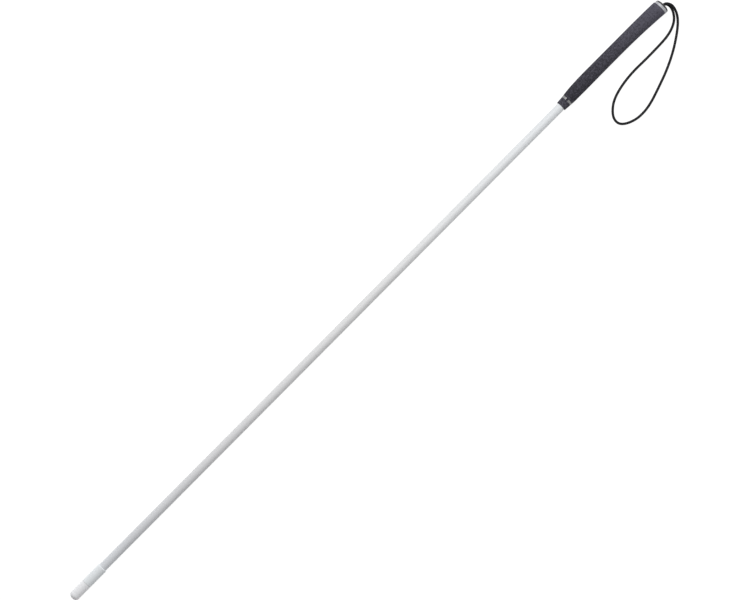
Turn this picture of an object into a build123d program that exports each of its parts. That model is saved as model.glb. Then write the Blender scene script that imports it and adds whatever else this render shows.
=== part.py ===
"""A rigid long white cane with a golf-style grip and an elastic cord wrist loop.

The cane lies on its side on the floor, as it does when it is put down. +X runs along the shaft
from the tip to the butt of the grip, the grip's flat front faces +Y and its swollen back faces -Y,
and the wrist loop lies on the floor on the -Y side. The origin is on the floor under the middle
of the cane. Sizes are in millimetres. A station is a distance along the cane from the tip's end.
"""

import os
from math import pi, radians, tan

from build123d import *

# Driving dimensions: the whole cane
cane_length = 1500
butt_radius = 14.15
axis_height = butt_radius
tip_end_x = -cane_length / 2

# Shaft: a fibreglass tube wrapped in a white reflective sheet
tube_radius = 7.8
tube_wall = 1.2
tube_bore = tube_radius - tube_wall
skin = 0.2
shaft_radius = tube_radius + skin

# Tip: a nylon wear tip pushed into the shaft, and a sleeve that binds the shaft's end
tip_radius = 9.5
tip_dome = 7.5
tip_nose = 2.2
tip_shoulder = 36.7
seam_chamfer = 0.4
sleeve_end = 77
sleeve_chamfer = 0.7
spigot_length = 45
spigot_clearance = 0.05
spigot_lead = 1.2

# Grip: a rubber sleeve, round at its mouth and at its butt, with a flat front between
grip_mouth = 1241.7
grip_end = 1491.1
flat_front = 14.3
sheet_overlap = 20
end_rounding = 0.5

# The grip's outside: station, radius, and how far the circle's centre is towards the front
grip_sections = [
    (grip_mouth, 9.65, 0.1),
    (1255, 10.6, 0.15),
    (1263, 11.4, 0.4),
    (1275, 12.1, 0.95),
    (1290, 12.6, 1.35),
    (1312, 13.3, 2.1),
    (1350, 13.5, 2.55),
    (1390, 13.5, 2.55),
    (1425, 13.5, 2.0),
    (1450, 13.6, 1.15),
    (1470, 13.85, 0.25),
    (grip_end, butt_radius, -0.85),
]

# Marking ring near the mouth: a groove filled with four silver dashes
groove_start = 1254.7
groove_width = 4
groove_floor = 9.3
groove_reach = 12.5
dash_count = 4
dash_gap = 4
first_gap_angle = 86

# Butt: a silver ring and a cap with a hole for the cord, both a little behind the shaft's axis
butt_offset = -1.7
cap_radius = 13.7
ring_width = 4.8
ring_edge = 0.3
hub_radius = 11.2
cap_side = 0.3
cap_land = 6
cap_hole = 5.2
hole_lip = 0.5
stem_radius = 7.95
stem_start = 1487

# Cord: 4.8 mm round elastic, knotted behind a washer inside the shaft
cord_radius = 2.4
strand_rise = 2.45
washer_radius = 7.9
washer_hole = 5
washer_start = 1485
knot_radius = 4.85
knot_length = 14
knot_rounding = 3
knot_tail = 8
swing_gap = 0.3

# The loop outside the cap: station, side, height. It leaves the hole as the upper strand, goes
# round the loop on the floor and comes back to the hole as the lower strand.
swing_station = cane_length + swing_gap + cord_radius
loop_route = [
    (swing_station, butt_offset, axis_height + strand_rise),
    (1507.7, -6.2, 16.2),
    (1510.7, -13.2, 14.9),
    (1510.0, -20.7, 12.6),
    (1506.9, -30.3, 9.6),
    (1498.9, -41.5, 6.2),
    (1483.4, -54.8, 3.4),
    (1456.8, -72.4, cord_radius),
    (1424.8, -88.2, cord_radius),
    (1390.4, -100.6, cord_radius),
    (1357, -111.5, cord_radius),
    (1329, -113.7, cord_radius),
    (1306.7, -107.1, cord_radius),
    (1294.3, -97, cord_radius),
    (1293.4, -84.7, cord_radius),
    (1300.4, -73, cord_radius),
    (1316.8, -59.8, cord_radius),
    (1343, -51.6, cord_radius),
    (1376, -47.6, cord_radius),
    (1411, -48.4, cord_radius),
    (1441, -48, cord_radius),
    (1465, -47, 2.5),
    (1482.7, -42.6, 3.7),
    (1495.6, -35.3, 5.7),
    (1503.4, -25.7, 7.8),
    (1507.3, -16.2, 9.8),
    (1507.1, -8.2, 11.0),
    (swing_station, butt_offset, axis_height - strand_rise),
]

shaft_axis = Axis((0, 0, axis_height), (1, 0, 0))
# Local x is the station and local y is the radius, for profiles that turn about the shaft's axis
lengthwise = Plane(origin=(tip_end_x, 0, axis_height), x_dir=(1, 0, 0), z_dir=(0, -1, 0))


def across(station, offset=0):
    """A plane square to the shaft: local x points to the front (+Y), local y points up."""
    return Plane(origin=(tip_end_x + station, offset, axis_height), x_dir=(0, 1, 0), z_dir=(1, 0, 0))


def bend_radii(points):
    """The largest arc that fits each corner of a cord's route, from its two runs and its turn."""
    radii = []
    for before, corner, after in zip(points, points[1:], points[2:]):
        into, out_of = corner - before, after - corner
        turn = radians(into.get_angle(out_of))
        radii.append(0.45 * min(into.length, out_of.length) / tan(turn / 2))
    return radii


# Nylon tip: a rounded nose, a cylindrical wear length and a spigot that fits the shaft's bore
spigot_radius = tube_bore - spigot_clearance
spigot_end = tip_shoulder + spigot_length
with BuildPart() as nylon_tip:
    with BuildSketch(lengthwise):
        with BuildLine():
            Line((0, 0), (0, tip_nose))
            EllipticalCenterArc(
                (tip_dome, tip_nose), tip_dome, tip_radius - tip_nose, start_angle=90, arc_size=90
            )
            Polyline(
                (tip_dome, tip_radius),
                (tip_shoulder - seam_chamfer, tip_radius),
                (tip_shoulder, tip_radius - seam_chamfer),
                (tip_shoulder, spigot_radius),
                (spigot_end - spigot_lead, spigot_radius),
                (spigot_end, spigot_radius - spigot_lead),
                (spigot_end, 0),
                (0, 0),
            )
        make_face()
    revolve(axis=shaft_axis)
nylon_tip.part.label = "nylon_tip"

# Tip sleeve: bound over the wrapped end of the shaft. Its broken edge and the tip's make the seam.
with BuildPart() as tip_sleeve:
    with BuildSketch(across(tip_shoulder)):
        Circle(tip_radius)
        Circle(shaft_radius, mode=Mode.SUBTRACT)
    extrude(amount=sleeve_end - tip_shoulder)
    round_edges = tip_sleeve.edges().filter_by(GeomType.CIRCLE)
    lower_edge, upper_edge = round_edges.group_by(SortBy.RADIUS)[-1].sort_by(Axis.X)
    chamfer(lower_edge, length=seam_chamfer)
    chamfer(upper_edge, length=sleeve_chamfer)
tip_sleeve.part.label = "tip_sleeve"

# Shaft tube: one straight tube from the tip's shoulder to the washer in the butt
with BuildPart() as shaft_tube:
    with BuildSketch(across(tip_shoulder)):
        Circle(tube_radius)
        Circle(tube_bore, mode=Mode.SUBTRACT)
    extrude(amount=washer_start - tip_shoulder)
shaft_tube.part.label = "shaft_tube"

# Reflective sheet: wrapped round the tube, and tucked a little way under the grip
sheet_end = grip_mouth + sheet_overlap
with BuildPart() as reflective_sheet:
    with BuildSketch(across(tip_shoulder)):
        Circle(shaft_radius)
        Circle(tube_radius, mode=Mode.SUBTRACT)
    extrude(amount=sheet_end - tip_shoulder)
reflective_sheet.part.label = "reflective_sheet"

# Grip tape: double-sided tape that holds the grip on the tube beyond the sheet's end
with BuildPart() as grip_tape:
    with BuildSketch(across(sheet_end)):
        Circle(shaft_radius)
        Circle(tube_radius, mode=Mode.SUBTRACT)
    extrude(amount=washer_start - sheet_end)
grip_tape.part.label = "grip_tape"

# The grip's outer shape, which the grip and its inlaid dashes share
with BuildPart() as grip_outside:
    for station, radius, offset in grip_sections:
        with BuildSketch(across(station, offset)):
            Circle(radius)
    loft()
    split(bisect_by=Plane.XZ.offset(-flat_front), keep=Keep.TOP)
    end_faces = grip_outside.faces().sort_by(Axis.X)
    fillet(end_faces[0].edges() + end_faces[-1].edges(), radius=end_rounding)

# Grip sleeve: bored for the wrapped shaft, with the marking ring's groove near its mouth
with BuildPart() as grip_sleeve:
    add(grip_outside.part)
    with BuildSketch(across(grip_mouth)):
        Circle(shaft_radius)
    extrude(amount=grip_end - grip_mouth, mode=Mode.SUBTRACT)
    with BuildSketch(across(groove_start)):
        Circle(groove_reach)
        Circle(groove_floor, mode=Mode.SUBTRACT)
    extrude(amount=groove_width, mode=Mode.SUBTRACT)
grip_sleeve.part.label = "grip_sleeve"

# Mouth dashes: four silver inlays that fill the groove level with the grip's outside
with BuildPart() as mouth_dashes:
    with BuildSketch(across(groove_start)):
        Circle(groove_reach)
        Circle(groove_floor, mode=Mode.SUBTRACT)
        with PolarLocations(0, dash_count, start_angle=first_gap_angle):
            Rectangle(
                groove_reach, dash_gap, align=(Align.MIN, Align.CENTER), mode=Mode.SUBTRACT
            )
    extrude(amount=groove_width)
    add(grip_outside.part, mode=Mode.INTERSECT)
mouth_dashes.part.label = "mouth_dashes"

# Butt ring: a silver band round the cap's hub
cap_start = grip_end + ring_width
with BuildPart() as butt_ring:
    with BuildSketch(across(grip_end, butt_offset)):
        Circle(cap_radius)
        Circle(hub_radius, mode=Mode.SUBTRACT)
    extrude(amount=ring_width)
    outer_edges = butt_ring.edges().filter_by(GeomType.CIRCLE).sort_by(SortBy.RADIUS)[-2:]
    chamfer(outer_edges, length=ring_edge)
butt_ring.part.label = "butt_ring"

# Butt cap: a stem in the grip's bore, a hub inside the ring, and a shallow dome over its end that
# meets a flat land round the hole
cap_axis = Axis((0, butt_offset, axis_height), (1, 0, 0))
dome_start = cap_start + cap_side
with BuildPart() as butt_cap:
    with BuildSketch(across(stem_start)):
        Circle(stem_radius)
    extrude(amount=grip_end - stem_start)
    with BuildSketch(across(grip_end, butt_offset)):
        Circle(hub_radius)
    extrude(amount=ring_width)
    with BuildSketch(lengthwise.offset(-butt_offset)):
        with BuildLine():
            Polyline((cane_length, cap_land), (cane_length, 0), (cap_start, 0))
            Polyline((cap_start, 0), (cap_start, cap_radius), (dome_start, cap_radius))
            EllipticalCenterArc(
                (dome_start, cap_land),
                cane_length - dome_start,
                cap_radius - cap_land,
                start_angle=0,
                arc_size=90,
            )
        make_face()
    revolve(axis=cap_axis)
    with BuildSketch(across(stem_start, butt_offset)):
        Circle(cap_hole)
    extrude(amount=cane_length - stem_start, mode=Mode.SUBTRACT)
    hole_edge = butt_cap.edges().filter_by(GeomType.CIRCLE).group_by(Axis.X)[-1]
    fillet(hole_edge.sort_by(SortBy.RADIUS)[0], radius=hole_lip)
butt_cap.part.label = "butt_cap"

# Cord washer: stops the knot from being pulled through the cap
with BuildPart() as cord_washer:
    with BuildSketch(across(washer_start)):
        Circle(washer_radius)
        with Locations((butt_offset, 0)):
            Circle(washer_hole, mode=Mode.SUBTRACT)
    extrude(amount=stem_start - washer_start)
cord_washer.part.label = "cord_washer"

# Cord knot: both ends of the loop, tied tight against the washer inside the tube
knot_start = washer_start - knot_length
with BuildPart() as cord_knot:
    with BuildSketch(across(knot_start, butt_offset)):
        Circle(knot_radius)
    extrude(amount=knot_length)
    knot_ends = cord_knot.edges().filter_by(GeomType.CIRCLE).sort_by(Axis.X)
    fillet(knot_ends[0], radius=knot_rounding)
    with BuildSketch(across(knot_start - knot_tail, butt_offset)):
        with Locations((0, strand_rise), (0, -strand_rise)):
            Circle(cord_radius)
    extrude(amount=knot_tail + knot_rounding)
cord_knot.part.label = "cord_knot"

# Cord strands: the two stretches that pass through the washer and the cap, one above the other
with BuildPart() as cord_strands:
    with BuildSketch(across(washer_start, butt_offset)):
        with Locations((0, strand_rise), (0, -strand_rise)):
            Circle(cord_radius)
    extrude(amount=cane_length - washer_start)
cord_strands.part.label = "cord_strands"

# Wrist cord: the loop outside the cap. Its round ends share the vertical line it swings about.
route = [Vector(tip_end_x + station, side, height) for station, side, height in loop_route]
with BuildPart() as wrist_cord:
    with BuildLine() as loop_line:
        FilletPolyline(*route, radius=bend_radii(route))
    with BuildSketch(Plane(origin=loop_line.line @ 0, z_dir=loop_line.line % 0)):
        Circle(cord_radius)
    sweep(path=loop_line.line)
    with Locations(route[0], route[-1]):
        Sphere(cord_radius)
wrist_cord.part.label = "wrist_cord"

cord_length = loop_line.wires()[0].length
round_ends = 4 / 3 * pi * cord_radius**3
expected_volume = pi * cord_radius**2 * cord_length + round_ends
print("wrist cord bend radii:", [round(radius, 1) for radius in bend_radii(route)])
print("wrist cord length:", round(cord_length, 1))
print("wrist cord volume:", round(wrist_cord.part.volume), "expected:", round(expected_volume))

pieces = [
    nylon_tip,
    tip_sleeve,
    shaft_tube,
    reflective_sheet,
    grip_tape,
    grip_sleeve,
    mouth_dashes,
    butt_ring,
    butt_cap,
    cord_washer,
    cord_knot,
    cord_strands,
    wrist_cord,
]
os.makedirs("parts", exist_ok=True)
for piece in pieces:
    export_step(piece.part, f"parts/{piece.part.label}.step")
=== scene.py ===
"""The looks of a rigid long white cane: its braided wrist cord, dimpled grip, materials and light.

Sizes are in metres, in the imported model's frame: +X runs along the cane from its tip to its butt
and +Z is up. The cane lies on the floor. The camera looks straight down on it, turned about the
vertical so that the cane crosses the picture from the lower left to the upper right.
"""

import math

import bpy
import numpy as np
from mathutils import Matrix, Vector


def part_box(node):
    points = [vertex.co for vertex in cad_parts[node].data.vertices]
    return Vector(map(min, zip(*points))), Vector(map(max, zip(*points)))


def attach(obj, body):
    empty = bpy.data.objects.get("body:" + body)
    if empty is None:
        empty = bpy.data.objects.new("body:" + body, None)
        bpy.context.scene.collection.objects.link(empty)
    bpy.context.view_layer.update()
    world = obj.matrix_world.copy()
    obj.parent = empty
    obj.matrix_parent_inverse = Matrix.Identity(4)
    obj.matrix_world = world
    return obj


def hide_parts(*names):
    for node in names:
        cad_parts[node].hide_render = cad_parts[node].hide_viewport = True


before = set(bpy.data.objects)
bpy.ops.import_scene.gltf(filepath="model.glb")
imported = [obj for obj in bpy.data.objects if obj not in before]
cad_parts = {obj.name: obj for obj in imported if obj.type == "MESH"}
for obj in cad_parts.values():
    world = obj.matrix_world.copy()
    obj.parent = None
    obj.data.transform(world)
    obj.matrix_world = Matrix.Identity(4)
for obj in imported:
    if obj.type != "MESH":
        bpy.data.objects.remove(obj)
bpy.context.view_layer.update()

TURN = 2 * math.pi

# Places taken from the frame
shaft_low, shaft_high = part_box("reflective_sheet")
axis_height = (shaft_low.z + shaft_high.z) / 2
shaft_radius = (shaft_high.z - shaft_low.z) / 2

# Camera
VIEW_WIDTH = 1.3436
CAMERA_DISTANCE = 4.25
CAMERA_TURN = math.radians(-45.17)
CAMERA_PLACE = (0.0109, -0.0082)

# Wrist cord: the route of its middle line, which leaves the cap's hole as the upper strand and
# comes back to it as the lower one. The first two points and the last two are inside the cap, and
# the next one at each end is on the upright line that the loop swings about.
CORD_RADIUS = 0.0024
CORD_ROUTE = [
    (0.7360, -0.0017, 0.0166),
    (0.7445, -0.0017, 0.0166),
    (0.7527, -0.0017, 0.0166),
    (0.7577, -0.0062, 0.0162),
    (0.7607, -0.0132, 0.0149),
    (0.7600, -0.0207, 0.0126),
    (0.7569, -0.0303, 0.0096),
    (0.7489, -0.0415, 0.0062),
    (0.7334, -0.0548, 0.0034),
    (0.7068, -0.0724, 0.0024),
    (0.6748, -0.0882, 0.0024),
    (0.6404, -0.1006, 0.0024),
    (0.6070, -0.1115, 0.0024),
    (0.5790, -0.1137, 0.0024),
    (0.5567, -0.1071, 0.0024),
    (0.5443, -0.0970, 0.0024),
    (0.5434, -0.0847, 0.0024),
    (0.5504, -0.0730, 0.0024),
    (0.5668, -0.0598, 0.0024),
    (0.5930, -0.0516, 0.0024),
    (0.6260, -0.0476, 0.0024),
    (0.6610, -0.0484, 0.0024),
    (0.6910, -0.0480, 0.0024),
    (0.7150, -0.0470, 0.0025),
    (0.7327, -0.0426, 0.0037),
    (0.7456, -0.0353, 0.0057),
    (0.7534, -0.0257, 0.0078),
    (0.7573, -0.0162, 0.0098),
    (0.7571, -0.0082, 0.0110),
    (0.7527, -0.0017, 0.0117),
    (0.7445, -0.0017, 0.0117),
    (0.7360, -0.0017, 0.0117),
]
SWING_LINE = CORD_ROUTE[2][:2]

# Braid of the cord: strands that wind each way, and how much each rises above the others
BRAID_STRANDS = 8
BRAID_PITCH = 0.0021
BRAID_CROWN = 0.00020
BRAID_WEAVE = 0.00010

# Mesh of the cord: the curve's steps between two points of the route, the distance between rings,
# the points in a ring, the rings in a round end, and the share of their radius that the strands
# lose where they end inside the loop's round ends
CURVE_STEPS = 64
CORD_STEP = 0.00035
CORD_SEGMENTS = 48
CORD_END_RINGS = 8
STRAND_NARROWING = 0.1

# Grip: distance along X, radius, and how far the circle's centre is towards the flat front (+Y)
GRIP_SECTIONS = [
    (0.4917, 0.00965, 0.00010),
    (0.5050, 0.01060, 0.00015),
    (0.5130, 0.01140, 0.00040),
    (0.5250, 0.01210, 0.00095),
    (0.5400, 0.01260, 0.00135),
    (0.5620, 0.01330, 0.00210),
    (0.6000, 0.01350, 0.00255),
    (0.6400, 0.01350, 0.00255),
    (0.6750, 0.01350, 0.00200),
    (0.7000, 0.01360, 0.00115),
    (0.7200, 0.01385, 0.00025),
    (0.7411, 0.01415, -0.00085),
]

# The flat front's distance from the axis, the softness of its edges, the rounding of the grip's
# ends, its bore, and the groove that holds the silver dashes
FLAT_FRONT = 0.0143
FLAT_EDGE = 0.0012
END_ROUNDING = 0.0005
BORE_CLEARANCE = 0.00004
GRIP_BORE = shaft_radius + BORE_CLEARANCE
GROOVE_START = 0.5047
GROOVE_END = 0.5087
GROOVE_FLOOR = 0.0093

# Dimples of the grip, in staggered rows, and the stretch of the grip that has them. The rim and
# the bottom of a dimple are where the waves that shape it pass these heights.
DIMPLES_AROUND = 31
DIMPLE_ROW = 0.00234
DIMPLE_DEPTH = 0.00036
DIMPLE_FADE = 0.003
DIMPLE_RIM = 0.1
DIMPLE_BOTTOM = 0.7
DIMPLES_START = 0.5110
DIMPLES_END = 0.7380
STEPS_PER_DIMPLE = 6
STEPS_PER_ROW = 5

# Rows of the grip's mesh: those round each rounded end, along the collar and along each other
# plain stretch, the space kept clear beside an edge, and the depth of the groove's broken edges
CORNER_ROWS = 5
COLLAR_ROWS = 24
PLAIN_ROWS = 6
EDGE_SPACE = 0.0002
GROOVE_EDGE = 0.0001

# The seam between the nylon tip and its sleeve, and the width of the darker band painted across it
TIP_SEAM = -0.7133
SEAM_WIDTH = 0.001

# Half the floor's side, and the light that it and the world give off
FLOOR_HALF = 9
FLOOR_GLOW = 0.94
WORLD_LIGHT = 0.22


# Camera


def add_camera():
    """A long lens straight above the cane."""
    data = bpy.data.cameras.new("camera")
    camera = bpy.data.objects.new("camera", data)
    bpy.context.scene.collection.objects.link(camera)
    data.lens = data.sensor_width * CAMERA_DISTANCE / VIEW_WIDTH
    camera.location = (*CAMERA_PLACE, axis_height + CAMERA_DISTANCE)
    camera.rotation_euler = (0, 0, CAMERA_TURN)
    bpy.context.scene.camera = camera


# Helpers


def smooth_step(low, high, values):
    """0 below low and 1 above high, with a smooth rise between."""
    t = np.clip((values - low) / (high - low), 0, 1)
    return t * t * (3 - 2 * t)


def add_mesh(name, points, faces):
    """A smooth-shaded object with this mesh."""
    mesh = bpy.data.meshes.new(name)
    mesh.from_pydata(points, [], faces)
    mesh.polygons.foreach_set("use_smooth", [True] * len(mesh.polygons))
    mesh.update()
    made = bpy.data.objects.new(name, mesh)
    bpy.context.scene.collection.objects.link(made)
    return made


def ring_faces(rings, around, closed=False):
    """Quads between rings of points, which go round the tube and, if closed, back to the start."""
    faces = []
    for ring in range(rings if closed else rings - 1):
        here = ring * around
        there = (ring + 1) % rings * around
        for i in range(around):
            j = (i + 1) % around
            faces.append((here + i, here + j, there + j, there + i))
    return faces


# Wrist cord


def spline_line(route):
    """Points close together along the NURBS curve of order 3 that these control points give."""
    curve = bpy.data.curves.new("cord_line", "CURVE")
    curve.dimensions = "3D"
    curve.resolution_u = CURVE_STEPS
    spline = curve.splines.new("NURBS")
    spline.points.add(len(route) - 1)
    for point, place in zip(spline.points, route):
        point.co = (*place, 1)
    spline.order_u = 3
    spline.use_endpoint_u = True
    holder = bpy.data.objects.new("cord_line", curve)
    line = bpy.data.meshes.new_from_object(holder)
    points = np.array([vertex.co for vertex in line.vertices])
    bpy.data.objects.remove(holder)
    bpy.data.meshes.remove(line)
    return points


def evenly_spaced(line, step):
    """The line's points at even distances along it, and those distances."""
    runs = np.linalg.norm(np.diff(line, axis=0), axis=1)
    reached = np.concatenate([[0], np.cumsum(runs)])
    along = np.linspace(0, reached[-1], round(reached[-1] / step) + 1)
    points = np.stack([np.interp(along, reached, line[:, axis]) for axis in range(3)], axis=1)
    return points, along


def carried_frames(points):
    """Two directions square to the line at each point, carried along it without twisting."""
    tangents = np.gradient(points, axis=0)
    tangents /= np.linalg.norm(tangents, axis=1)[:, None]
    up = np.array([0.0, 0.0, 1.0])
    ups = []
    for tangent in tangents:
        up = up - tangent * (up @ tangent)
        up /= np.linalg.norm(up)
        ups.append(up)
    ups = np.array(ups)
    return np.cross(tangents, ups), ups


def braid_radius(angle, along):
    """The outside of a round braid whose strands wind both ways, over and under each other."""
    around = BRAID_STRANDS * angle
    climb = TURN * along / BRAID_PITCH
    families = (around + climb, around - climb)
    heights = []
    for own, other, shift in (families + (0,), families[::-1] + (1,)):
        strand = np.round(own / TURN)
        across = (own - TURN * strand) / (TURN / 2)
        over = np.cos(other / 2 + math.pi * (strand + shift))
        heights.append(BRAID_CROWN * (np.sqrt(1 - across**2) - 1) + BRAID_WEAVE * (over - 1))
    return CORD_RADIUS + np.maximum(*heights)


def braided_tube(run, narrowing=0):
    """A closed stretch of the cord, given as (points, sides, ups, along), with both ends round.
    narrowing is the share of its radius that it loses at its ends."""
    points, sides, ups, along = run
    from_end = np.minimum(along - along[0], along[-1] - along)
    share = 1 - narrowing * (1 - smooth_step(0, CORD_RADIUS / 2, from_end))
    bow = np.linspace(0, TURN / 4, CORD_END_RINGS + 2)[1:-1]
    reach = CORD_RADIUS * share[0] * np.sin(bow)[:, None]
    before = points[0] - points[1]
    after = points[-1] - points[-2]
    first = points[0] + reach[::-1] * before / np.linalg.norm(before)
    last = points[-1] + reach * after / np.linalg.norm(after)
    points = np.concatenate([first, points, last])
    share = np.concatenate([share[0] * np.cos(bow)[::-1], share, share[-1] * np.cos(bow)])
    more_rings = (CORD_END_RINGS, CORD_END_RINGS)
    sides = np.pad(sides, (more_rings, (0, 0)), mode="edge")
    ups = np.pad(ups, (more_rings, (0, 0)), mode="edge")
    along = np.pad(along, more_rings, mode="edge")
    angle = np.linspace(0, TURN, CORD_SEGMENTS, endpoint=False)
    radius = braid_radius(angle[None, :], along[:, None]) * share[:, None]
    out_sides = sides[:, None, :] * np.cos(angle)[None, :, None]
    out_ups = ups[:, None, :] * np.sin(angle)[None, :, None]
    surface = points[:, None, :] + radius[:, :, None] * (out_sides + out_ups)
    faces = ring_faces(len(points), CORD_SEGMENTS)
    last_ring = (len(points) - 1) * CORD_SEGMENTS
    faces.append(tuple(reversed(range(CORD_SEGMENTS))))
    faces.append(tuple(range(last_ring, last_ring + CORD_SEGMENTS)))
    return surface.reshape(-1, 3).tolist(), faces


def make_cord():
    """The braided cord along one smooth line, split where it crosses the line that it swings about:
    a loop that rides on its own body, and the two strands that run from it into the cap."""
    points, along = evenly_spaced(spline_line(CORD_ROUTE), CORD_STEP)
    line = (points, *carried_frames(points), along)
    from_swing = np.linalg.norm(points[:, :2] - np.array(SWING_LINE), axis=1)
    half = len(points) // 2
    out = int(np.argmin(from_swing[:half]))
    back = half + int(np.argmin(from_swing[half:]))

    loop = add_mesh("braided_loop", *braided_tube([part[out : back + 1] for part in line]))
    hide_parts("wrist_cord")
    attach(loop, "wrist_loop")

    upper, upper_faces = braided_tube([part[: out + 1] for part in line], STRAND_NARROWING)
    lower, lower_faces = braided_tube([part[back:] for part in line], STRAND_NARROWING)
    lower_faces = [tuple(corner + len(upper) for corner in face) for face in lower_faces]
    strands = add_mesh("braided_strands", upper + lower, upper_faces + lower_faces)
    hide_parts("cord_strands")
    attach(strands, "cane")
    return loop, strands


# Grip


def smooth_curve(places, knots, values):
    """A smooth curve through the values at the knots, read at the places."""
    slopes = np.gradient(values, knots)
    index = np.clip(np.searchsorted(knots, places) - 1, 0, len(knots) - 2)
    span = knots[index + 1] - knots[index]
    t = (places - knots[index]) / span
    start, end = values[index], values[index + 1]
    rise_in, rise_out = slopes[index] * span, slopes[index + 1] * span
    return (
        start * (2 * t**3 - 3 * t**2 + 1)
        + rise_in * (t**3 - 2 * t**2 + t)
        + end * (3 * t**2 - 2 * t**3)
        + rise_out * (t**3 - t**2)
    )


def grip_outline(places):
    """The grip's radius and the offset of its circle's centre at these distances along X."""
    knots, radii, offsets = np.array(GRIP_SECTIONS).T
    return smooth_curve(places, knots, radii), smooth_curve(places, knots, offsets)


def soft_limit(values, limit, softness):
    """The values held below the limit, with a rounded corner where they meet it."""
    gap = np.clip(1 - np.abs(values - limit) / softness, 0, None)
    return np.minimum(values, limit) - softness / 4 * gap**2


def dimple_inset(places, angle):
    """How deep the dimples are: round hollows in staggered rows that fade out at both ends."""
    across = angle * DIMPLES_AROUND / TURN
    row = (places - DIMPLES_START) / DIMPLE_ROW
    waves = (
        np.cos(TURN * (across - row / 2))
        + np.cos(TURN * row)
        + np.cos(TURN * (across + row / 2))
    ) / 3
    shown = smooth_step(DIMPLES_START, DIMPLES_START + DIMPLE_FADE, places)
    shown = shown * (1 - smooth_step(DIMPLES_END - DIMPLE_FADE, DIMPLES_END, places))
    return DIMPLE_DEPTH * shown * smooth_step(DIMPLE_RIM, DIMPLE_BOTTOM, waves)


def grip_rows():
    """Rows of the grip's skin from inside its mouth to its end: place, inset, or a fixed radius."""
    mouth, end = GRIP_SECTIONS[0][0], GRIP_SECTIONS[-1][0]
    corners = np.linspace(0, TURN / 4, CORNER_ROWS)
    collar = np.linspace(mouth + 2 * END_ROUNDING, GROOVE_START - EDGE_SPACE, COLLAR_ROWS)
    below_dimples = np.linspace(GROOVE_END + EDGE_SPACE, DIMPLES_START, PLAIN_ROWS)
    row_step = DIMPLE_ROW / STEPS_PER_ROW
    dimpled = np.arange(DIMPLES_START + row_step, DIMPLES_END, row_step)
    above_dimples = np.linspace(DIMPLES_END, end - END_ROUNDING - EDGE_SPACE, PLAIN_ROWS)

    rows = [(end, None, GRIP_BORE), (mouth, None, GRIP_BORE)]
    for corner in corners[::-1]:
        place = mouth + END_ROUNDING * (1 - math.sin(corner))
        rows.append((place, END_ROUNDING * (1 - math.cos(corner)), None))
    rows += [(place, 0, None) for place in collar]
    rows += [(GROOVE_START, GROOVE_EDGE, None), (GROOVE_START, None, GROOVE_FLOOR)]
    rows += [(GROOVE_END, None, GROOVE_FLOOR), (GROOVE_END, GROOVE_EDGE, None)]
    for stretch in (below_dimples, dimpled, above_dimples):
        rows += [(place, 0, None) for place in stretch]
    for corner in corners:
        place = end - END_ROUNDING * (1 - math.sin(corner))
        rows.append((place, END_ROUNDING * (1 - math.cos(corner)), None))
    return rows


def make_grip():
    """The rubber grip: round at both ends, flat at its front, dimpled between, with a bore."""
    around = DIMPLES_AROUND * STEPS_PER_DIMPLE
    angle = np.linspace(0, TURN, around, endpoint=False)
    points = []
    hollows = []
    rows = grip_rows()
    for place, inset, radius in rows:
        if radius is None:
            outline, offset = grip_outline(np.array([place]))
            dimples = dimple_inset(place, angle)
            reach = outline - inset - dimples
            side = soft_limit(offset + reach * np.cos(angle), FLAT_FRONT - inset, FLAT_EDGE)
        else:
            dimples = np.zeros(around)
            reach = np.full(around, radius)
            side = reach * np.cos(angle)
        height = axis_height + reach * np.sin(angle)
        points += [(place, y, z) for y, z in zip(side, height)]
        hollows += list(dimples / DIMPLE_DEPTH)
    grip = add_mesh("dimpled_grip", points, ring_faces(len(rows), around, closed=True))
    # The dimples' depth at each point, which the rubber's colour reads to paint shade in the hollows.
    grip.data.attributes.new("hollow", "FLOAT", "POINT").data.foreach_set("value", hollows)
    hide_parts("grip_sleeve")
    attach(grip, "cane")
    return grip


# Materials


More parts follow.
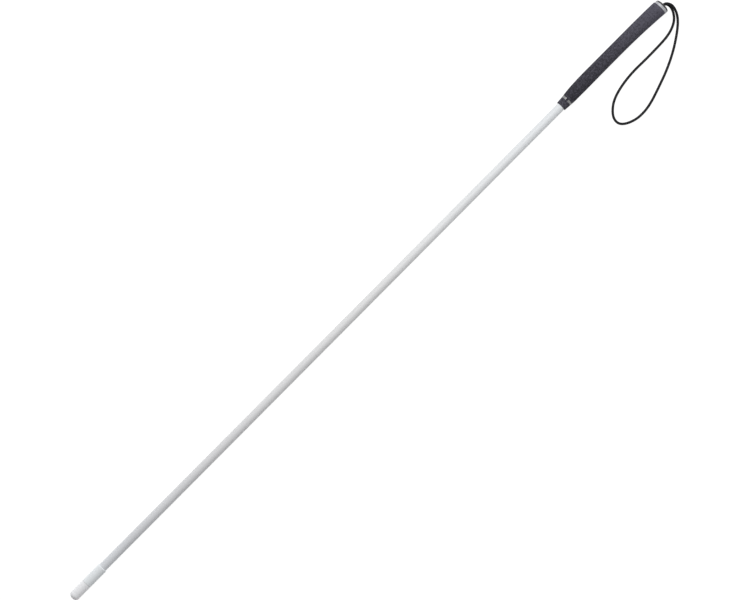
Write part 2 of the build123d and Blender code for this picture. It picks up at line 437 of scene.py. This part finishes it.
class Shader:
    """A material's node tree, with short calls that add and join its nodes."""

    def __init__(self, name, color, roughness, metallic=0.0):
        self.material = bpy.data.materials.new(name)
        self.material.use_nodes = True
        self.tree = self.material.node_tree
        self.surface = self.tree.nodes["Principled BSDF"]
        self.set("Base Color", (*color, 1))
        self.set("Roughness", roughness)
        self.set("Metallic", metallic)

    def node(self, kind, **settings):
        """A new node, with its sockets set or joined: a socket joins, and a value is set."""
        made = self.tree.nodes.new(kind)
        for name, value in settings.items():
            self.put(made.inputs[name.replace("_", " ")], value)
        return made

    def put(self, socket, value):
        """Joins an output to this socket, or sets the socket's own value."""
        if isinstance(value, bpy.types.NodeSocket):
            self.tree.links.new(value, socket)
        else:
            socket.default_value = value

    def set(self, name, value):
        """Joins an output to the surface's socket of this name, or sets that socket's own value."""
        self.put(self.surface.inputs[name], value)

    def place(self):
        """Places on the piece in its own metres."""
        return self.tree.nodes.new("ShaderNodeTexCoord").outputs["Object"]

    def noise(self, scale, detail=2.0, roughness=0.5):
        """Soft noise with about this many spots to the metre."""
        made = self.node("ShaderNodeTexNoise", Vector=self.place(), Scale=scale, Detail=detail)
        made.inputs["Roughness"].default_value = roughness
        return made.outputs["Fac"]

    def attribute(self, name):
        """A value kept on the mesh's own points."""
        made = self.tree.nodes.new("ShaderNodeAttribute")
        made.attribute_name = name
        return made.outputs["Fac"]

    def total(self, *values):
        """The sum of the values."""
        running = values[0]
        for value in values[1:]:
            made = self.node("ShaderNodeMath", Value=running)
            self.put(made.inputs[1], value)
            running = made.outputs["Value"]
        return running

    def spread(self, value, low, high, start=0.0, end=1.0):
        """The value's range from start to end, spread over low to high."""
        made = self.tree.nodes.new("ShaderNodeMapRange")
        self.put(made.inputs["Value"], value)
        made.inputs["From Min"].default_value = start
        made.inputs["From Max"].default_value = end
        made.inputs["To Min"].default_value = low
        made.inputs["To Max"].default_value = high
        return made.outputs["Result"]

    def shades(self, value, *stops):
        """A colour ramp: stops are (position, colour)."""
        made = self.node("ShaderNodeValToRGB", Fac=value)
        elements = made.color_ramp.elements
        while len(elements) < len(stops):
            elements.new(0.5)
        for element, (position, color) in zip(elements, stops):
            element.position = position
            element.color = (*color, 1)
        return made.outputs["Color"]

    def mix(self, share, first, second, blend="MIX"):
        """Two colours mixed or blended: second takes this share."""
        made = self.node("ShaderNodeMixRGB", Fac=share, Color1=first, Color2=second)
        made.blend_type = blend
        return made.outputs["Color"]

    def along(self, start, end):
        """0 at this distance along X, 1 at that one."""
        split = self.node("ShaderNodeSeparateXYZ", Vector=self.place())
        return self.spread(split.outputs["X"], low=0.0, high=1.0, start=start, end=end)

    def bump(self, height, distance, strength=1.0):
        """Raises the surface by the height times the distance, on top of any bump before it."""
        made = self.node("ShaderNodeBump", Height=height, Distance=distance, Strength=strength)
        socket = self.surface.inputs["Normal"]
        if socket.links:
            self.put(made.inputs["Normal"], socket.links[0].from_socket)
        self.put(socket, made.outputs["Normal"])


def reflective_sheet_material():
    """White retroreflective sheeting: a fine beaded face under a clear film, faintly blue."""
    shader = Shader("white_reflective_sheet", (0.62, 0.625, 0.635), 0.5)
    # Partly painted light: lighter near the tip end and a little darker near the grip, evening out
    # the key's fall-off along the shaft; the bluer ends are the sheet's own colour.
    colour_and_painted_light = shader.shades(
        shader.along(shaft_low.x, shaft_high.x),
        (0.03, (0.66, 0.68, 0.71)),
        (0.1, (0.62, 0.63, 0.653)),
        (0.25, (0.622, 0.624, 0.636)),
        (0.6, (0.622, 0.624, 0.628)),
        (1.0, (0.6, 0.62, 0.638)),
    )
    cloudy = shader.shades(shader.noise(9.0, detail=3.0), (0.3, (0.97, 0.97, 0.97)), (0.7, (1, 1, 1)))
    shader.set("Base Color", shader.mix(1.0, colour_and_painted_light, cloudy, "MULTIPLY"))
    beads = shader.node("ShaderNodeTexVoronoi", Vector=shader.place(), Scale=3500.0)
    shader.bump(beads.outputs["Distance"], distance=0.00004, strength=0.5)
    shader.set("Specular IOR Level", 0.3)
    return shader.material


def paint_with_seam(shader, color):
    """Paints the surface, with a darker band painted across the fine seam between the tip and its
    sleeve.
    """
    across_seam = shader.along(TIP_SEAM - SEAM_WIDTH / 2, TIP_SEAM + SEAM_WIDTH / 2)
    # A darker band painted across the seam, SEAM_WIDTH wide.
    seam_band = shader.shades(across_seam, (0.0, (0, 0, 0)), (0.5, (1, 1, 1)), (1.0, (0, 0, 0)))
    shader.set("Base Color", shader.mix(seam_band, color, (0.45, 0.45, 0.45, 1)))


def nylon_material():
    """Satin moulded nylon, a little less blue than the sleeve beside it, with faint scuffs."""
    shader = Shader("satin_nylon", (0.81, 0.815, 0.835), 0.5)
    scuffs = shader.noise(420.0, detail=6.0, roughness=0.7)
    white = shader.shades(scuffs, (0.35, (0.765, 0.77, 0.79)), (0.6, (0.845, 0.85, 0.87)))
    paint_with_seam(shader, white)
    shader.set("Roughness", shader.spread(scuffs, low=0.65, high=0.45))
    shader.set("Specular IOR Level", 0.3)
    shader.bump(scuffs, distance=0.00008, strength=0.4)
    return shader.material


def sleeve_material():
    """The smooth white shrink sleeve over the shaft's end."""
    shader = Shader("white_shrink_sleeve", (0.75, 0.78, 0.8), 0.4)
    ripple = shader.noise(160.0, detail=3.0)
    white = shader.shades(ripple, (0.3, (0.74, 0.77, 0.79)), (0.7, (0.76, 0.79, 0.81)))
    paint_with_seam(shader, white)
    shader.bump(ripple, distance=0.0002, strength=0.35)
    shader.set("Roughness", shader.spread(ripple, low=0.35, high=0.5))
    shader.set("Specular IOR Level", 0.3)
    return shader.material


def rubber_material():
    """Matt black grip rubber with a mottled dust film. Its colour is also painted lighter towards the
    butt (painted light) and on the smooth collar (painted sheen), and darker in the dimples' hollows
    (painted shade, with the lands between them a little lighter from wear).
    """
    shader = Shader("grip_rubber", (0.04, 0.039, 0.049), 0.8)
    reach = shader.along(GRIP_SECTIONS[0][0], GRIP_SECTIONS[-1][0])
    # Painted light along the grip: lighter towards the butt, where the light falls brighter, and
    # lighter on the smooth collar as a painted sheen.
    collar, lower, upper = [(value, value, value) for value in (0.33, 0.1, 0.95)]
    even = shader.shades(reach, (0.06, collar), (0.075, lower), (1.0, upper))
    mottle = shader.noise(300.0, detail=4.0, roughness=0.65)
    spots = shader.spread(mottle, low=-0.62, high=0.62, start=0.3, end=0.7)
    # Painted shade in the dimples' hollows, with the worn lands between them a little lighter.
    hollow_shade_and_wear = shader.spread(shader.attribute("hollow"), low=0.1, high=-0.5)
    dust_and_painted_light = shader.total(even, spots, hollow_shade_and_wear)
    # The ramp runs from the darkest rubber, in painted shade, to the lightest, where dust and painted
    # light add up.
    shaded_clean, lit_dusty = (0.024, 0.023, 0.029), (0.078, 0.0755, 0.097)
    shader.set("Base Color", shader.shades(dust_and_painted_light, (0.0, shaded_clean), (1.0, lit_dusty)))
    shader.set("Specular IOR Level", 0.1)
    shader.bump(shader.noise(2600.0, detail=3.0), distance=0.00006, strength=0.6)
    return shader.material


def cap_material():
    """Smooth black rubber, a little glossier than the grip."""
    shader = Shader("cap_rubber", (0.02, 0.02, 0.022), 0.5)
    shader.bump(shader.noise(900.0, detail=4.0), distance=0.00005, strength=0.4)
    return shader.material


def silver_band_material():
    """A satin silver band, brushed round the cane."""
    shader = Shader("satin_silver_band", (0.36, 0.365, 0.385), 0.6, metallic=0.35)
    lines = shader.node("ShaderNodeMapping", Vector=shader.place(), Scale=(9.0, 0.6, 0.6))
    brushed = shader.node("ShaderNodeTexNoise", Vector=lines.outputs["Vector"], Scale=900.0)
    shader.set("Roughness", shader.spread(brushed.outputs["Fac"], low=0.45, high=0.75))
    shader.bump(brushed.outputs["Fac"], distance=0.00003, strength=0.5)
    return shader.material


def silver_paint_material():
    """Silver paint that fills the marking ring's groove."""
    shader = Shader("silver_paint", (0.2, 0.2, 0.202), 0.5, metallic=0.3)
    flakes = shader.noise(2500.0, detail=2.0)
    silver = shader.shades(flakes, (0.3, (0.155, 0.155, 0.157)), (0.7, (0.25, 0.25, 0.252)))
    shader.set("Base Color", silver)
    return shader.material


def cord_material():
    """Black braided polyester with a faint sheen along its fibres."""
    shader = Shader("black_braid", (0.005, 0.005, 0.006), 0.6)
    fibres = shader.noise(3200.0, detail=3.0, roughness=0.7)
    black = shader.shades(fibres, (0.3, (0.003, 0.003, 0.004)), (0.7, (0.009, 0.009, 0.011)))
    shader.set("Base Color", black)
    shader.set("Specular IOR Level", 0.2)
    shader.bump(fibres, distance=0.00005, strength=0.6)
    return shader.material


def plain_material(name, color, roughness, metallic=0.0):
    """A material for a piece that is hidden inside, with a fine grain."""
    shader = Shader(name, color, roughness, metallic)
    grain = shader.noise(800.0, detail=3.0)
    shader.set("Roughness", shader.spread(grain, low=0.8 * roughness, high=roughness))
    shader.bump(grain, distance=0.00005, strength=0.4)
    return shader.material


def dress(piece, material):
    """Gives the piece this material alone."""
    piece.data.materials.clear()
    piece.data.materials.append(material)


def dress_all(cords, grip):
    """Gives every piece its material."""
    braid = cord_material()
    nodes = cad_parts
    for cord in cords:
        dress(cord, braid)
    dress(grip, rubber_material())
    dress(nodes["nylon_tip"], nylon_material())
    dress(nodes["tip_sleeve"], sleeve_material())
    dress(nodes["reflective_sheet"], reflective_sheet_material())
    dress(nodes["mouth_dashes"], silver_paint_material())
    dress(nodes["butt_ring"], silver_band_material())
    dress(nodes["butt_cap"], cap_material())
    dress(nodes["cord_knot"], braid)
    dress(nodes["shaft_tube"], plain_material("fibreglass", (0.62, 0.6, 0.5), 0.35))
    dress(nodes["grip_tape"], plain_material("grip_tape", (0.5, 0.46, 0.36), 0.8))
    dress(nodes["cord_washer"], plain_material("zinc_plate", (0.55, 0.55, 0.56), 0.4, 1.0))


# Floor and light


def add_floor():
    """A wide light table that the cane lies on, bright enough to hold no shadow."""
    low, high = -FLOOR_HALF, FLOOR_HALF
    corners = [(low, low, 0), (high, low, 0), (high, high, 0), (low, high, 0)]
    floor = add_mesh("floor", corners, [(0, 1, 2, 3)])
    shader = Shader("light_table", (0.15, 0.15, 0.15), 0.9)
    patches = shader.noise(3.0)
    grey = shader.shades(patches, (0.3, (0.145, 0.145, 0.145)), (0.7, (0.155, 0.155, 0.155)))
    shader.set("Base Color", grey)
    shader.set("Specular IOR Level", 0.1)
    shader.set("Emission Color", (1, 1, 1, 1))
    shader.set("Emission Strength", FLOOR_GLOW)
    dress(floor, shader.material)


def add_softbox(name, place, aim, size, power):
    """A square soft light that faces the aim point."""
    data = bpy.data.lights.new(name, "AREA")
    data.size = size
    data.energy = power
    light = bpy.data.objects.new(name, data)
    bpy.context.scene.collection.objects.link(light)
    light.location = place
    light.rotation_euler = (Vector(aim) - Vector(place)).to_track_quat("-Z", "Y").to_euler()


def light_scene():
    """Even white light from all round, a large softbox on the flat side and a weak one opposite."""
    world = bpy.data.worlds.new("studio")
    world.use_nodes = True
    background = world.node_tree.nodes["Background"]
    background.inputs["Color"].default_value = (1, 1, 1, 1)
    background.inputs["Strength"].default_value = WORLD_LIGHT
    bpy.context.scene.world = world
    add_softbox("key", place=(0.8, 1.45, 2.2), aim=(0.1, 0, 0), size=1.6, power=77)
    add_softbox("fill", place=(1.2, -1.3, 0.9), aim=(0.3, 0, 0), size=0.9, power=10)
    bpy.context.scene.view_settings.view_transform = "Standard"


add_camera()
braided_cords = make_cord()
dimpled_grip = make_grip()
dress_all(braided_cords, dimpled_grip)
add_floor()
light_scene()
